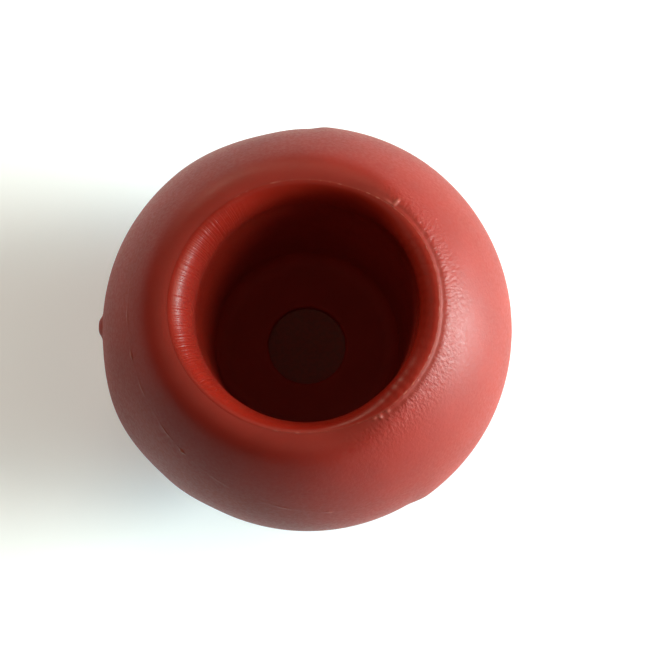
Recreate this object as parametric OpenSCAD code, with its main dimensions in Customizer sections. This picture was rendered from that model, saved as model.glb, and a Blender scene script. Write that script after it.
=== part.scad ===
// Case opening friction ball: a hollow soft ball with a deep grip cup let into its top.
// Origin: middle of the flat resting face. +Z: along the cup's axis, out of its mouth.

/* [Ball] */
// Diameter of the ball
ball_d = 50; // [45:0.5:56]
// Wall of the two outer shells
shell_wall = 3; // [2.5:0.25:3.25]
// Radius of the flat that the ball rests on
foot_r = 7; // [5:0.5:8]

/* [Seam] */
// Distance from the ball's centre to the plane of the seam
seam_height = 9.9; // [8:0.1:11]
// Lean of the seam's plane, down towards +X
seam_tilt = 9.7; // [0:0.1:11]
// Height of the tongue that registers the two shells
tongue_height = 2; // [1:0.25:2.5]

/* [Cup] */
// Radius of the mouth ring, where the lip meets the ball's skin
ring_r = 15.6; // [15:0.1:16.5]
// Radius of the bore just below the lip
bore_r = 13.2; // [12.8:0.05:13.5]
// Depth over which the lip rolls from the ring down into the bore
lip_depth = 3.4; // [2.4:0.1:5]
// Radius that the bore's wall tapers to at the floor
bore_floor_r = 11.9; // [11:0.1:12]
// Fillet between the bore's wall and the floor
floor_fillet = 2; // [1:0.25:3]
// Distance from the ball's centre down to the cup's floor
floor_drop = 13.2; // [11:0.1:13.5]
// Wall of the cup below its neck
cup_wall = 2.5; // [2:0.1:2.8]
// Thickness of the cup's floor
floor_wall = 3.5; // [3:0.25:3.75]
// Chamfer under the rim of the cup's floor
under_chamfer = 2; // [1.5:0.25:3]
// Outer radius of the ring in the lower shell that holds up the cup's floor
seat_r = 10.5; // [9.5:0.25:11]
// Width of that ring
seat_width = 2.5; // [1.5:0.25:2.5]

/* [Vent plug] */
// Radius of the hole in the floor and of the plug's stem
plug_r = 5; // [4:0.1:5.5]
// Depth of the plug's face below the floor
plug_sink = 1.8; // [1:0.1:2]
// Depth of the dish in the plug's face
plug_dish = 0.6; // [0.3:0.1:0.9]
// How far the plug's barb reaches out under the floor
barb_reach = 1; // [0.6:0.1:1.2]
// Height of the barb
barb_height = 1.5; // [1:0.1:1.5]

/* [Hidden] */
$fn = 96;
arc_steps = 12;
slack = 1;

ball_r = ball_d / 2;
inner_r = ball_r - shell_wall;
lap_r = ball_r - shell_wall / 2;
centre_z = sqrt(ball_r * ball_r - foot_r * foot_r);
ring_z = centre_z + sqrt(ball_r * ball_r - ring_r * ring_r);
lip_roll = ring_r - bore_r;
floor_z = centre_z - floor_drop;
floor_under_z = floor_z - floor_wall;
neck_z = centre_z + sqrt(inner_r * inner_r - ring_r * ring_r) - slack;
cup_under_r = bore_floor_r + cup_wall;
dish_r = (plug_r * plug_r + plug_dish * plug_dish) / (2 * plug_dish);
reach = 2 * ball_d;

// Points along an elliptical arc, from one angle to another
function arc(centre_x, centre_y, half_width, half_height, from, to) =
    [for (i = [0:arc_steps])
        let (a = from + (to - from) * i / arc_steps)
            [centre_x + half_width * cos(a), centre_y + half_height * sin(a)]];

// Everything above the seam's plane, raised by a given distance along its normal
module above_seam(raise = 0) {
    translate([0, 0, centre_z])
        rotate([0, seam_tilt, 0])
            translate([-reach / 2, -reach / 2, seam_height + raise])
                cube(reach);
}

// Hollow ball between two radii about the ball's centre
module ball_layer(outer, inner) {
    translate([0, 0, centre_z])
        difference() {
            sphere(outer);
            sphere(inner);
        }
}

// Inner half of the wall just above the seam, which carries the lower shell's tongue
module tongue() {
    difference() {
        intersection() {
            ball_layer(lap_r, inner_r);
            above_seam();
        }
        above_seam(tongue_height);
    }
}

// Outline of the cup's inside, from the axis out to the mouth ring
module cup_hollow() {
    polygon(concat(
        [[-slack, floor_z]],
        arc(bore_floor_r - floor_fillet, floor_z + floor_fillet, floor_fillet, floor_fillet, 270, 360),
        arc(ring_r, ring_z - lip_depth, lip_roll, lip_depth, 180, 90),
        [[ring_r, ring_z + slack], [-slack, ring_z + slack]]
    ));
}

// Lower outer shell, with the ring inside it that holds up the cup's floor
module lower_shell() {
    color("firebrick") {
        union() {
            difference() {
                ball_layer(ball_r, inner_r);
                above_seam();
                translate([-reach / 2, -reach / 2, -reach])
                    cube(reach);
            }
            tongue();
            intersection() {
                translate([0, 0, centre_z])
                    sphere(inner_r + slack / 2);
                difference() {
                    cylinder(h = floor_under_z, r = seat_r);
                    cylinder(h = reach, r = seat_r - seat_width);
                }
            }
        }
    }
}

// Upper outer shell, open at the mouth ring
module upper_collar() {
    color("firebrick")
        difference() {
            intersection() {
                ball_layer(ball_r, inner_r);
                above_seam();
            }
            tongue();
            cylinder(h = reach, r = ring_r);
        }
}

// Cup with its rolled lip, its tapered bore and the hole in its floor
module grip_cup() {
    color("crimson")
        rotate_extrude()
            difference() {
                polygon([
                    [plug_r, floor_under_z],
                    [cup_under_r - under_chamfer, floor_under_z],
                    [cup_under_r, floor_under_z + under_chamfer],
                    [ring_r, neck_z],
                    [ring_r, ring_z],
                    [plug_r, ring_z]
                ]);
                cup_hollow();
            }
}

// Push-in plug, dished on top and barbed under the floor
module vent_plug() {
    face_z = floor_z - plug_sink;
    color("dimgray")
        difference() {
            union() {
                translate([0, 0, floor_under_z])
                    cylinder(h = face_z - floor_under_z, r = plug_r);
                translate([0, 0, floor_under_z - barb_height])
                    cylinder(h = barb_height, r1 = plug_r, r2 = plug_r + barb_reach);
            }
            translate([0, 0, face_z - plug_dish + dish_r])
                sphere(dish_r);
        }
}

lower_shell();
upper_collar();
grip_cup();
vent_plug();
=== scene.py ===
import math

import bpy
import numpy as np
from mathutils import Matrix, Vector


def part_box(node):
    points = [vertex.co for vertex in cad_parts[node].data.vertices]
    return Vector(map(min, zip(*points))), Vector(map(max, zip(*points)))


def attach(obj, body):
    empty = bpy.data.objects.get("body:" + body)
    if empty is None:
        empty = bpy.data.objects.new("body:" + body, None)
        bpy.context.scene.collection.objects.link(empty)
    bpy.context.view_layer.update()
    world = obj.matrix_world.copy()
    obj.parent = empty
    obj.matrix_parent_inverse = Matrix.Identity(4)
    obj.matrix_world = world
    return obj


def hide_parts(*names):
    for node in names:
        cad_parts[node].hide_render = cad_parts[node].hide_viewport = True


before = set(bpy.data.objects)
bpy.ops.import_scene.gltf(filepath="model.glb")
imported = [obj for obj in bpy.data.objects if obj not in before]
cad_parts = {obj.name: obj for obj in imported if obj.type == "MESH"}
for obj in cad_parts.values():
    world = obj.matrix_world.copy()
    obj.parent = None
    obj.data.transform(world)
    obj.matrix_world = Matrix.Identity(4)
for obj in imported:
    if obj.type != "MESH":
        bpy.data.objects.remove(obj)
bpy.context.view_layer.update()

# ------------------------------------------------------------ sizes from the frame, in metres
BALL_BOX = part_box("lower_shell")
CUP_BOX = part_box("grip_cup")
PLUG_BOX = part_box("vent_plug")

MM = 0.001
BALL_R = (BALL_BOX[1][0] - BALL_BOX[0][0]) / 2
RING_R = (CUP_BOX[1][0] - CUP_BOX[0][0]) / 2
RING_Z = CUP_BOX[1][2]
CENTRE_Z = RING_Z - math.sqrt(BALL_R ** 2 - RING_R ** 2)
FOOT_R = math.sqrt(BALL_R ** 2 - CENTRE_Z ** 2)
FLOOR_UNDER_Z = CUP_BOX[0][2]
BARB_R = (PLUG_BOX[1][0] - PLUG_BOX[0][0]) / 2
BARB_Z = PLUG_BOX[0][2]

# ------------------------------------------------------------ sizes of the design
SHELL_WALL = 3.0 * MM
LIP_DEPTH = 3.4 * MM
SEAM_HEIGHT = 9.9 * MM
SEAM_TILT = math.radians(9.7)
TONGUE = 2.0 * MM
BORE_R = 13.2 * MM
BORE_FLOOR_R = 11.9 * MM
FLOOR_Z = FLOOR_UNDER_Z + 3.5 * MM
FLOOR_FILLET = 2.0 * MM
CUP_WALL = 2.5 * MM
UNDER_CHAMFER = 2.0 * MM
PLUG_R = BARB_R - 1.0 * MM
PLUG_SINK = 1.8 * MM
PLUG_DISH = 0.6 * MM
SEAT_R = 10.5 * MM
SEAT_WIDTH = 2.5 * MM

INNER_R = BALL_R - SHELL_WALL
LAP_R = BALL_R - SHELL_WALL / 2
FOOT_POLAR = math.pi - math.asin(FOOT_R / BALL_R)

TURNS = 720
AZIMUTH = np.linspace(0, 2 * math.pi, TURNS, endpoint=False)

# How far the moulding stands out of round along its belt: bearing in degrees, millimetres.
OUT_OF_ROUND = [
    (0, 0.13), (50, 0.13), (84, 0.0), (90, -0.30), (103, -0.46), (132, -0.04), (160, 0.08),
    (183, 0.10), (205, 0.50), (228, 0.0), (245, -0.34), (299, -0.28), (306, 0.09), (335, 0.15),
]
# The belt's angle down from +Z, and how far it swings up towards +Y, in degrees
BELT_POLAR = 84
BELT_SWING = 8.5
BELT_WIDTH = 12
# Stub of the moulding gate: bearing in degrees, height and half-width
GATE_BEARING = 180
GATE_HEIGHT = 0.45 * MM
GATE_WIDTH = 1.1 * MM
# Bits of flash on the seam: bearing in degrees, height and half-width in millimetres
SEAM_FLECKS = [
    (181, 0.06, 0.8), (193.6, 0.14, 0.45), (204.5, 0.07, 0.7), (220, 0.07, 0.8),
    (228, 0.22, 0.28), (263, 0.06, 0.8), (276.5, 0.14, 0.3),
]
# Bits of flash beside the mouth ring: bearing in degrees, then distance out from the ring,
# height, and half-widths along and away from the ring, in millimetres
RING_FLECKS = [
    (49.5, 0.55, 0.20, 0.16, 0.45), (52, 0.15, 0.10, 0.5, 0.14), (303, 0.3, 0.18, 0.2, 0.2),
    (300.5, 0.15, 0.14, 0.3, 0.14), (307, 0.2, 0.12, 0.25, 0.16), (25, 0.9, 0.06, 0.14, 0.14),
]


# ------------------------------------------------------------ waves and humps
def wave(seed, lowest, highest):
    """A smooth random wave round the axis, about 1 high, made of whole numbers of ripples a turn."""
    rng = np.random.default_rng(seed)
    total = np.zeros_like(AZIMUTH)
    for ripples in range(lowest, highest + 1):
        total += rng.normal() * np.cos(ripples * AZIMUTH + rng.uniform(0, 2 * math.pi))
    return total / math.sqrt(highest - lowest + 1)


def crinkle(seed, fewest, most, length):
    """Random ripples, fewest to most of them a turn, about a length long away from the ring."""
    rng = np.random.default_rng(seed)
    waves = []
    for _ in range(160):
        ripples = rng.integers(fewest, most)
        lean = rng.normal() * 2 * math.pi / length
        waves.append((ripples, lean, rng.uniform(0, 2 * math.pi)))
    return waves


def crinkled(waves, distance):
    """The ripples' height, about 1, at a distance out from the ring."""
    total = np.zeros_like(AZIMUTH)
    for ripples, lean, phase in waves:
        total += np.cos(ripples * AZIMUTH + lean * distance + phase)
    return total / math.sqrt(len(waves) / 2)


def away(degrees):
    """Signed angle of each azimuth from a bearing, in degrees from -180 to 180."""
    return (np.degrees(AZIMUTH) - degrees + 180) % 360 - 180


def bell(distance, width):
    """A smooth hump, 1 at its middle and near 0 beyond about twice its width."""
    return np.exp(-(distance / width) ** 2)


def ease(low, high, value):
    """A smooth step from 0 at low to 1 at high, whichever of the two is greater."""
    t = np.clip((value - low) / (high - low), 0, 1)
    return t * t * (3 - 2 * t)


def spread(start, stop, count):
    """Values from start to stop, both included."""
    return [start + (stop - start) * i / count for i in range(count + 1)]


def out_of_round():
    """Height of the belt's unevenness at each azimuth."""
    points = OUT_OF_ROUND + [(360 + OUT_OF_ROUND[0][0], OUT_OF_ROUND[0][1])]
    turn = np.degrees(AZIMUTH)
    height = np.zeros_like(turn)
    for (here, low), (there, high) in zip(points, points[1:]):
        inside = (turn >= here) & (turn < there)
        height[inside] = low + (high - low) * ease(here, there, turn[inside])
    return height * MM


def mouth_ring():
    """The mouth ring's radius as moulded, and the height of the bead along it, at each azimuth."""
    wander = 0.2 * np.sin(AZIMUTH) - 0.2 * np.cos(AZIMUTH) + 1.3 * ROLLED
    wander = wander + 0.04 * wave(11, 3, 14) + 0.022 * PROUD * wave(12, 20, 90)
    tall = EDGED * (0.020 + 0.012 * RAGGED)
    return RING_R + wander * MM, np.maximum(tall, 0.004) * MM


def eased(distance, reach, slope):
    """How far a surface drops as it nears the mouth ring, so that the crest there is rounded."""
    return slope * reach / 3 * np.maximum(1 - distance / reach, 0) ** 3


def skin_drop(distance):
    """How far the ball's skin drops as it nears the ring from outside."""
    return eased(distance, (4.6 - 2.8 * PROUD) * MM, 0.95 - 0.30 * PROUD)


def lip_drop(distance):
    """How far the cup's lip drops as it nears the ring from inside."""
    return eased(distance, 1.3 * MM, 0.04 + 0.31 * PROUD)


# Shares from 0 to 1 round the ring: where a bead runs along it, where that bead also stands proud
# with a groove outside it, where the lip rolls over widest, and where it is finely creased
EDGED = ease(130, 95, np.abs(away(5)))
PROUD = ease(80, 35, np.abs(away(-4)))
ROLLED = bell(away(182), 55)
CREASED = ease(78, 40, np.abs(away(182)))
# Unevenness of the bead along the ring, about 1 high
RAGGED = wave(13, 15, 90)
BELT_HEIGHT = out_of_round()
MOUTH_R, BEAD_HEIGHT = mouth_ring()
MOUTH_POLAR = np.arcsin(MOUTH_R / BALL_R)
CREST_R = (BALL_R - skin_drop(0)) * np.sin(MOUTH_POLAR)
CREST_Z = CENTRE_Z + (BALL_R - skin_drop(0)) * np.cos(MOUTH_POLAR)
# Height of the seam's fine ridge in millimetres, with a smear at the lower left
SEAM_RIDGE = 0.004 + 0.035 * np.clip(wave(3, 4, 30) - 0.3, 0, 1) * bell(away(218), 40)
CRINKLES = crinkle(5, 80, 200, 0.85 * MM)


def seam_polar(radius):
    """Angle down from +Z, about the ball's centre, where a sphere meets the seam's plane."""
    lean = math.sin(SEAM_TILT) * np.cos(AZIMUTH)
    up = math.cos(SEAM_TILT)
    return np.arctan2(lean, up) + np.arccos(SEAM_HEIGHT / (radius * np.hypot(lean, up)))


# ------------------------------------------------------------ building closed solids from rings
def flat_ring(radius, z):
    """One ring of points at a radius and a height, each a number or one value per azimuth."""
    radius = np.broadcast_to(radius, AZIMUTH.shape)
    z = np.broadcast_to(z, AZIMUTH.shape)
    return np.stack([radius * np.cos(AZIMUTH), radius * np.sin(AZIMUTH), z], axis=-1)


def ball_ring(polar, radius):
    """One ring of points at an angle down from +Z about the ball's centre."""
    return flat_ring(radius * np.sin(polar), CENTRE_Z + radius * np.cos(polar))


class Solid:
    """Rings of points from one end of a solid's skin to the other, with marks that its material reads."""

    def __init__(self, name):
        self.name = name
        self.rings = []
        self.marks = {"flash": [], "polish": [], "crease": []}

    def add(self, ring, flash=0.0, polish=0.0, crease=0.0):
        self.rings.append(ring)
        for mark, share in (("flash", flash), ("polish", polish), ("crease", crease)):
            self.marks[mark].append(np.broadcast_to(share, AZIMUTH.shape))

    def build(self, poles=False):
        """Joins the last ring to the first, or closes both ends with a pole."""
        count = len(self.rings)
        verts = np.concatenate(self.rings)
        here = np.arange(TURNS)
        after = np.roll(here, -1)
        faces = []
        for i in range(count - 1 if poles else count):
            low = i * TURNS
            high = (i + 1) % count * TURNS
            faces += np.stack([low + here, low + after, high + after, high + here], axis=-1).tolist()
        if poles:
            pole = len(verts)
            ends = [self.rings[0].mean(axis=0), self.rings[-1].mean(axis=0)]
            verts = np.concatenate([verts, ends])
            top = (count - 1) * TURNS
            faces += np.stack([np.full(TURNS, pole), after, here], axis=-1).tolist()
            faces += np.stack([np.full(TURNS, pole + 1), top + here, top + after], axis=-1).tolist()
        mesh = bpy.data.meshes.new(self.name)
        mesh.from_pydata(verts.tolist(), [], faces)
        for mark, values in self.marks.items():
            values = np.concatenate(values + [[0.0] * (len(verts) - count * TURNS)])
            mesh.attributes.new(mark, "FLOAT", "POINT").data.foreach_set("value", values)
        mesh.shade_smooth()
        mesh.set_sharp_from_angle(angle=math.radians(60))
        return link(bpy.data.objects.new(self.name, mesh))


def link(obj):
    bpy.context.scene.collection.objects.link(obj)
    return obj


# ------------------------------------------------------------ the ball's two shells
def skin_ring(polar):
    """One ring of the moulded outer skin, with its marks."""
    belt = BELT_POLAR - BELT_SWING * np.sin(AZIMUTH)
    height = BELT_HEIGHT * bell(np.degrees(polar) - belt, BELT_WIDTH)
    around = BALL_R * np.sin(polar)

    from_seam = (polar - seam_polar(BALL_R)) * BALL_R
    seam = SEAM_RIDGE * bell(from_seam, 0.15 * MM)
    for bearing, tall, wide in SEAM_FLECKS:
        along = np.radians(away(bearing)) * around
        seam = seam + tall * bell(along, wide * MM) * bell(from_seam, 0.13 * MM)
    height = height + seam * MM

    along = np.radians(away(GATE_BEARING)) * around
    down = (polar - math.radians(BELT_POLAR)) * BALL_R
    height = height + GATE_HEIGHT * np.exp(-(along / GATE_WIDTH) ** 4 - (down / GATE_WIDTH) ** 4)

    from_ring = (polar - MOUTH_POLAR) * BALL_R
    groove = 0.13 * bell(from_ring - 0.40 * MM, 0.24 * MM)
    height = height - skin_drop(from_ring) - groove * PROUD * MM
    reach = ease(6.0 * MM, 1.2 * MM, from_ring) * ease(0.3 * MM, 0.9 * MM, from_ring)
    if np.max(reach) > 0:
        height = height + 0.008 * MM * reach * (0.08 + 0.92 * PROUD) * crinkled(CRINKLES, from_ring)

    flash = seam
    for bearing, out, tall, wide, long in RING_FLECKS:
        along = np.radians(away(bearing)) * RING_R
        bit = tall * bell(along, wide * MM) * bell(from_ring - out * MM, long * MM)
        height = height + bit * MM
        flash = flash + bit / 2
    polish = (1 - PROUD) * ease(4.5 * MM, 1.0 * MM, from_ring)
    return ball_ring(polar, BALL_R + height), np.clip(flash * 5, 0, 1), polish, PROUD * reach


def upper_collar():
    solid = Solid("upper_collar_skin")
    seam = seam_polar(BALL_R)
    for t in spread(0, 1, 110):
        solid.add(*skin_ring(MOUTH_POLAR + (seam - MOUTH_POLAR) * t))
    solid.add(ball_ring(seam_polar(LAP_R), LAP_R))
    solid.add(ball_ring(seam_polar(LAP_R) - TONGUE / LAP_R, LAP_R))
    inner_low = seam_polar(INNER_R) - TONGUE / INNER_R
    inner_top = math.asin(RING_R / INNER_R)
    for t in spread(0, 1, 12):
        solid.add(ball_ring(inner_low + (inner_top - inner_low) * t, INNER_R))
    inner_z = CENTRE_Z + INNER_R * math.cos(inner_top)
    for t in spread(0, 1, 6)[1:-1]:
        solid.add(flat_ring(RING_R + (CREST_R - RING_R) * t, inner_z + (CREST_Z - inner_z) * t))
    return solid.build()


def lower_shell():
    solid = Solid("lower_shell_skin")
    for radius in spread(0.4 * MM, FOOT_R, 14)[:-1]:
        solid.add(flat_ring(radius, 0.0))
    seam = seam_polar(BALL_R)
    for t in spread(0, 1, 170):
        solid.add(*skin_ring(FOOT_POLAR + (seam - FOOT_POLAR) * t))
    solid.add(ball_ring(seam_polar(LAP_R), LAP_R))
    solid.add(ball_ring(seam_polar(LAP_R) - TONGUE / LAP_R, LAP_R))
    inner_top = seam_polar(INNER_R) - TONGUE / INNER_R
    outside_seat = math.pi - math.asin(SEAT_R / INNER_R)
    for t in spread(0, 1, 30):
        solid.add(ball_ring(inner_top + (outside_seat - inner_top) * t, INNER_R))
    solid.add(flat_ring(SEAT_R, FLOOR_UNDER_Z))
    solid.add(flat_ring(SEAT_R - SEAT_WIDTH, FLOOR_UNDER_Z))
    inside_seat = math.pi - math.asin((SEAT_R - SEAT_WIDTH) / INNER_R)
    for t in spread(0, 1, 8)[:-1]:
        solid.add(ball_ring(inside_seat + (math.pi - inside_seat) * t, INNER_R))
    return solid.build(poles=True)


# ------------------------------------------------------------ the cup and its plug
def grip_cup():
    solid = Solid("grip_cup_skin")
    bore_r = BORE_R - 0.3 * (1 - ROLLED) * MM
    roll = CREST_R - bore_r
    lift = LIP_DEPTH * (1.3 - 0.85 * PROUD + 0.4 * ROLLED)
    lip_z = CREST_Z + lip_drop(0) - lift
    ripple = 0.0015 * MM * wave(21, 120, 240)
    ragged = 0.10 + 0.35 * np.clip(RAGGED - 0.4, 0, 1)
    for t in spread(0, 1, 130):
        a = math.pi / 2 * t ** 1.6
        inward = roll * math.sin(a)
        bead = bell(inward - 0.05 * MM, 0.11 * MM)
        z = lip_z + lift * math.cos(a) - lip_drop(inward) + BEAD_HEIGHT * bead + ripple * math.sin(2 * a)
        solid.add(flat_ring(CREST_R - inward, z), EDGED * ragged * bead, 0.0, CREASED * math.sin(2 * a))
    wall_z = FLOOR_Z + FLOOR_FILLET
    for t in spread(0, 1, 60)[1:-1]:
        solid.add(flat_ring(bore_r + (BORE_FLOOR_R - bore_r) * t, lip_z + (wall_z - lip_z) * t))
    fillet_r = BORE_FLOOR_R - FLOOR_FILLET
    for a in spread(0, math.pi / 2, 14):
        solid.add(flat_ring(fillet_r + FLOOR_FILLET * math.cos(a), wall_z - FLOOR_FILLET * math.sin(a)))
    edge = 0.4 * MM
    for radius in spread(fillet_r, PLUG_R + edge, 24)[1:-1]:
        solid.add(flat_ring(radius, FLOOR_Z))
    for a in spread(0, math.pi / 2, 6):
        solid.add(flat_ring(PLUG_R + edge * (1 - math.sin(a)), FLOOR_Z - edge * (1 - math.cos(a))))
    solid.add(flat_ring(PLUG_R, FLOOR_UNDER_Z))
    under_r = BORE_FLOOR_R + CUP_WALL
    under_z = FLOOR_UNDER_Z + UNDER_CHAMFER
    neck_z = CENTRE_Z + math.sqrt(INNER_R ** 2 - RING_R ** 2) - 1.0 * MM
    solid.add(flat_ring(under_r - UNDER_CHAMFER, FLOOR_UNDER_Z))
    for t in spread(0, 1, 12):
        solid.add(flat_ring(under_r + (RING_R - under_r) * t, under_z + (neck_z - under_z) * t))
    return solid.build()


def vent_plug():
    solid = Solid("vent_plug_skin")
    face_z = FLOOR_Z - PLUG_SINK
    for radius in spread(0.3 * MM, PLUG_R, 30):
        solid.add(flat_ring(radius, face_z - PLUG_DISH * (1 - (radius / PLUG_R) ** 2)))
    solid.add(flat_ring(PLUG_R, FLOOR_UNDER_Z))
    solid.add(flat_ring(BARB_R, FLOOR_UNDER_Z))
    for radius in spread(PLUG_R, 0.3 * MM, 6):
        solid.add(flat_ring(radius, BARB_Z))
    return solid.build(poles=True)


# ------------------------------------------------------------ materials
# Darker and lighter shade of each moulding, and the paler colour of its flash
SHELL_RED = ((0.195, 0.0125, 0.0072, 1), (0.215, 0.0143, 0.0084, 1))
CUP_RED = ((0.198, 0.0098, 0.0048, 1), (0.212, 0.0110, 0.0056, 1))
# The plug's pair is darker and browner than the cup's red: painted shade of the deep hole the plug sits in
PLUG_PAINTED_SHADE = ((0.135, 0.015, 0.010, 1), (0.165, 0.019, 0.013, 1))
FLASH_PINK = (0.50, 0.21, 0.17, 1)


class Nodes:
    """A material's node tree, with short calls for the nodes used here. Lengths in it are in millimetres."""

    def __init__(self, name):
        self.material = bpy.data.materials.new(name)
        self.material.use_nodes = True
        self.tree = self.material.node_tree
        self.shader = self.tree.nodes["Principled BSDF"]
        place = self.tree.nodes.new("ShaderNodeTexCoord").outputs["Object"]
        self.place = self.vector("SCALE", place, scale=1 / MM)

    def new(self, kind, **settings):
        node = self.tree.nodes.new(kind)
        for key, value in settings.items():
            setattr(node, key, value)
        return node

    def feed(self, socket, value):
        if isinstance(value, bpy.types.NodeSocket):
            self.tree.links.new(value, socket)
        else:
            socket.default_value = value

    def vector(self, operation, first, second=None, scale=None):
        node = self.new("ShaderNodeVectorMath", operation=operation)
        self.feed(node.inputs[0], first)
        if second is not None:
            self.feed(node.inputs[1], second)
        if scale is not None:
            self.feed(node.inputs["Scale"], scale)
        return node.outputs["Value" if operation == "LENGTH" else "Vector"]

    def maths(self, operation, first, second=0.0, clamp=False):
        node = self.new("ShaderNodeMath", operation=operation, use_clamp=clamp)
        self.feed(node.inputs[0], first)
        self.feed(node.inputs[1], second)
        return node.outputs[0]

    def noise(self, where, size, detail=2.0, roughness=0.5):
        node = self.new("ShaderNodeTexNoise")
        self.feed(node.inputs["Vector"], where)
        node.inputs["Scale"].default_value = 1 / size
        node.inputs["Detail"].default_value = detail
        node.inputs["Roughness"].default_value = roughness
        return node.outputs["Fac"]

    def between(self, value, low, high, first, second):
        """first where value is at low, second where it is at high, smoothly in between."""
        node = self.new("ShaderNodeMapRange", interpolation_type="SMOOTHSTEP")
        self.feed(node.inputs["Value"], value)
        for name, number in (("From Min", low), ("From Max", high), ("To Min", first), ("To Max", second)):
            node.inputs[name].default_value = number
        return node.outputs["Result"]

    def mix(self, amount, first, second):
        node = self.new("ShaderNodeMix", data_type="RGBA")
        self.feed(node.inputs["Factor"], amount)
        self.feed(node.inputs[6], first)
        self.feed(node.inputs[7], second)
        return node.outputs[2]

    def round_axis(self, across, along):
        """Coordinates for streaks that run away from the axis: fine across, long along."""
        split = self.new("ShaderNodeSeparateXYZ")
        self.feed(split.inputs[0], self.place)
        flat = self.new("ShaderNodeCombineXYZ")
        self.feed(flat.inputs[0], split.outputs[0])
        self.feed(flat.inputs[1], split.outputs[1])
        radius = self.vector("LENGTH", flat.outputs[0])
        turned = self.vector("SCALE", self.vector("NORMALIZE", flat.outputs[0]), scale=RING_R / MM / across)
        lift = self.maths("DIVIDE", self.maths("SUBTRACT", split.outputs[2], radius), along)
        up = self.new("ShaderNodeCombineXYZ")
        self.feed(up.inputs[2], lift)
        return self.vector("ADD", turned, up.outputs[0])

    def height(self):
        """Height above the ball's foot."""
        split = self.new("ShaderNodeSeparateXYZ")
        self.feed(split.inputs[0], self.place)
        return split.outputs[2]

    def bump(self, height, depth, under=None):
        """Surface normals of a height from 0 to 1, with its depth in millimetres."""
        node = self.new("ShaderNodeBump")
        node.inputs["Strength"].default_value = 1.0
        node.inputs["Distance"].default_value = depth * MM
        self.feed(node.inputs["Height"], height)
        if under is not None:
            self.feed(node.inputs["Normal"], under)
        return node.outputs["Normal"]

    def mark(self, name):
        return self.new("ShaderNodeAttribute", attribute_name=name).outputs["Fac"]


def set_rubber(nodes, gloss):
    """Uniform settings of a soft moulding: its gloss, and light that soaks about a millimetre into it."""
    inputs = nodes.shader.inputs
    inputs["Specular IOR Level"].default_value = gloss
    inputs["Subsurface Weight"].default_value = 0.5
    inputs["Subsurface Radius"].default_value = (1.0, 0.2, 0.1)
    inputs["Subsurface Scale"].default_value = 1.2 * MM


def flashed(nodes, color):
    """The colour, paler where the mark of flash is."""
    return nodes.mix(nodes.maths("MULTIPLY", nodes.mark("flash"), 0.7), color, FLASH_PINK)


def grained_rubber():
    """Soft red moulding with a fine grain, wrinkled just outside the mouth ring."""
    nodes = Nodes("grained_red_rubber")
    grain = nodes.noise(nodes.place, 0.42, detail=2.5, roughness=0.6)
    cloud = nodes.noise(nodes.place, 6.0, detail=3.0)
    color = nodes.mix(nodes.between(cloud, 0.3, 0.7, 0.0, 1.0), *SHELL_RED)
    nodes.feed(nodes.shader.inputs["Base Color"], flashed(nodes, color))
    polish = nodes.mark("polish")
    rough = nodes.between(grain, 0.3, 0.7, 0.46, 0.58)
    rough = nodes.maths("SUBTRACT", rough, nodes.maths("MULTIPLY", polish, 0.05))
    nodes.feed(nodes.shader.inputs["Roughness"], rough)
    set_rubber(nodes, 0.25)
    plain = nodes.maths("SUBTRACT", 1.0, nodes.maths("MULTIPLY", polish, 0.7))
    crease = nodes.noise(nodes.round_axis(0.30, 0.7), 1.0, detail=2.0)
    folds = nodes.bump(nodes.maths("MULTIPLY", crease, nodes.mark("crease")), 0.10)
    grained = nodes.bump(nodes.maths("MULTIPLY", grain, plain), 0.024, folds)
    nodes.feed(nodes.shader.inputs["Normal"], grained)
    return nodes.material


def smooth_rubber():
    """Soft red moulding, satin, with fine creases across its rolled lip."""
    nodes = Nodes("smooth_red_rubber")
    cloud = nodes.noise(nodes.place, 4.0, detail=3.0)
    color = nodes.mix(nodes.between(cloud, 0.3, 0.7, 0.0, 1.0), *CUP_RED)
    nodes.feed(nodes.shader.inputs["Base Color"], flashed(nodes, color))
    fine = nodes.noise(nodes.place, 0.3, detail=2.0)
    depth = nodes.maths("SUBTRACT", RING_Z / MM, nodes.height())
    worn = nodes.between(depth, 1.5, 9.0, 0.0, 0.38)
    rough = nodes.maths("ADD", nodes.between(fine, 0.3, 0.7, 0.32, 0.40), worn)
    nodes.feed(nodes.shader.inputs["Roughness"], rough)
    set_rubber(nodes, 0.18)
    crease = nodes.noise(nodes.round_axis(0.20, 2.4), 1.0, detail=1.0)
    folds = nodes.bump(nodes.maths("MULTIPLY", crease, nodes.mark("crease")), 0.105)
    nodes.feed(nodes.shader.inputs["Normal"], nodes.bump(fine, 0.008, folds))
    return nodes.material


def dull_rubber_painted_shade():
    """The plug's duller moulding; its darker, browner colour is painted shade of the deep hole it sits in.
    """
    nodes = Nodes("plug_brown_painted_shade")
    speck = nodes.noise(nodes.place, 0.5, detail=4.0)
    color = nodes.mix(nodes.between(speck, 0.35, 0.65, 0.0, 1.0), *PLUG_PAINTED_SHADE)
    nodes.feed(nodes.shader.inputs["Base Color"], color)
    nodes.feed(nodes.shader.inputs["Roughness"], nodes.between(speck, 0.3, 0.7, 0.5, 0.7))
    set_rubber(nodes, 0.25)
    nodes.feed(nodes.shader.inputs["Normal"], nodes.bump(speck, 0.04))
    return nodes.material


# ------------------------------------------------------------ floor, light and camera
# The camera looks from -Y, nearly straight down; the shifts are shares of the frame's width
CAMERA_BEARING = -90
CAMERA_ELEVATION = 81.5
CAMERA_DISTANCE = 10 * BALL_R
CAMERA_LENS = 112.3
CAMERA_SENSOR = 36
CAMERA_SHIFT = (0.0277, 0.0077)
# Width of each soft light, and its distance from the ball's centre
LAMP_WIDTH = 0.4
LAMP_DISTANCE = 0.8
FLOOR_HALF = 1.5
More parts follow.
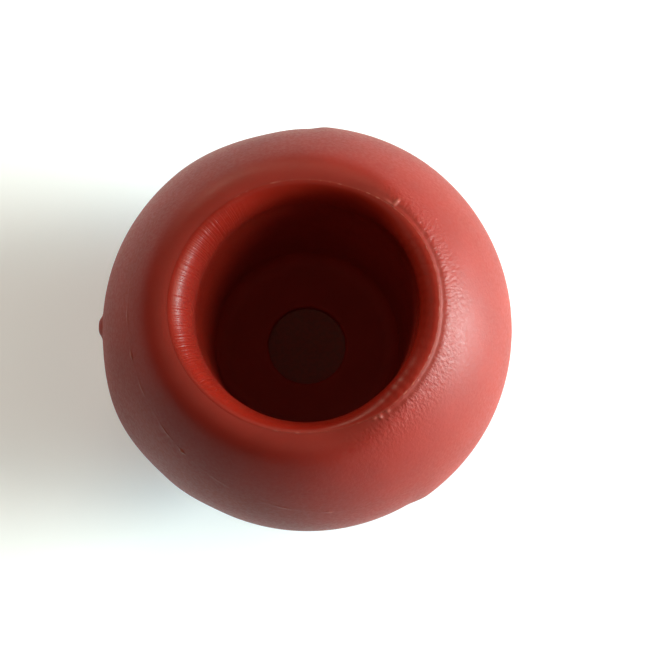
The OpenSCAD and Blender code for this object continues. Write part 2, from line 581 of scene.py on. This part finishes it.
# Soft round lights: bearing and elevation in degrees, watts, colour. A strong cool one stands low on
# the right, three weaker warm ones stand above and behind, and four high ones fill the shade evenly.
DAYLIGHT = (0.75, 1.0, 1.0)
WARM = (1.0, 0.84, 0.63)
LIGHTS = [(0, 8, 23, DAYLIGHT), (0, 40, 4, WARM), (120, 22, 2.5, WARM), (90, 40, 1, WARM)]
LIGHTS += [(bearing, 62, 0.6, WARM) for bearing in (0, 90, 180, 270)]


def aim(obj, target):
    obj.rotation_euler = (Vector(target) - obj.location).to_track_quat("-Z", "Y").to_euler()


def toward(bearing, elevation, distance):
    """A point at a bearing from +X and an elevation, both in degrees, seen from the ball's centre."""
    turn, rise = math.radians(bearing), math.radians(elevation)
    direction = Vector((math.cos(rise) * math.cos(turn), math.cos(rise) * math.sin(turn), math.sin(rise)))
    return Vector((0, 0, CENTRE_Z)) + distance * direction


def camera():
    data = bpy.data.cameras.new("camera")
    cam = link(bpy.data.objects.new("camera", data))
    cam.location = toward(CAMERA_BEARING, CAMERA_ELEVATION, CAMERA_DISTANCE)
    aim(cam, (0, 0, CENTRE_Z))
    data.sensor_width = CAMERA_SENSOR
    data.lens = CAMERA_LENS
    data.shift_x = CAMERA_SHIFT[0]
    data.shift_y = CAMERA_SHIFT[1]
    bpy.context.scene.camera = cam


def softbox(bearing, elevation, watts, color):
    data = bpy.data.lights.new("softbox", "AREA")
    data.shape = "DISK"
    data.size = LAMP_WIDTH
    data.energy = watts
    data.color = color
    lamp = link(bpy.data.objects.new("softbox", data))
    lamp.location = toward(bearing, elevation, LAMP_DISTANCE)
    aim(lamp, (0, 0, CENTRE_Z))


def floor():
    mesh = bpy.data.meshes.new("floor")
    corners = [(-1, -1), (1, -1), (1, 1), (-1, 1)]
    mesh.from_pydata([(x * FLOOR_HALF, y * FLOOR_HALF, 0) for x, y in corners], [], [(0, 1, 2, 3)])
    obj = link(bpy.data.objects.new("floor", mesh))
    mat = bpy.data.materials.new("pale_floor")
    mat.use_nodes = True
    shader = mat.node_tree.nodes["Principled BSDF"]
    shader.inputs["Base Color"].default_value = (0.87, 0.93, 0.98, 1)
    shader.inputs["Roughness"].default_value = 0.8
    shader.inputs["Emission Color"].default_value = (0.66, 0.80, 1.0, 1)
    shader.inputs["Emission Strength"].default_value = 0.14
    obj.data.materials.append(mat)


# ------------------------------------------------------------ putting it together
def place(piece, node, slot, material):
    piece.data.materials.append(material)
    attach(piece, "root")
    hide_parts(node)


skin = grained_rubber()
place(upper_collar(), "upper_collar", "shell_rubber", skin)
place(lower_shell(), "lower_shell", "shell_rubber", skin)
place(grip_cup(), "grip_cup", "cup_rubber", smooth_rubber())
# The plug's material carries painted shade of the deep hole in its darker, browner colour
place(vent_plug(), "vent_plug", "plug_rubber", dull_rubber_painted_shade())

floor()
camera()
for light in LIGHTS:
    softbox(*light)
bpy.context.scene.view_settings.view_transform = "Standard"
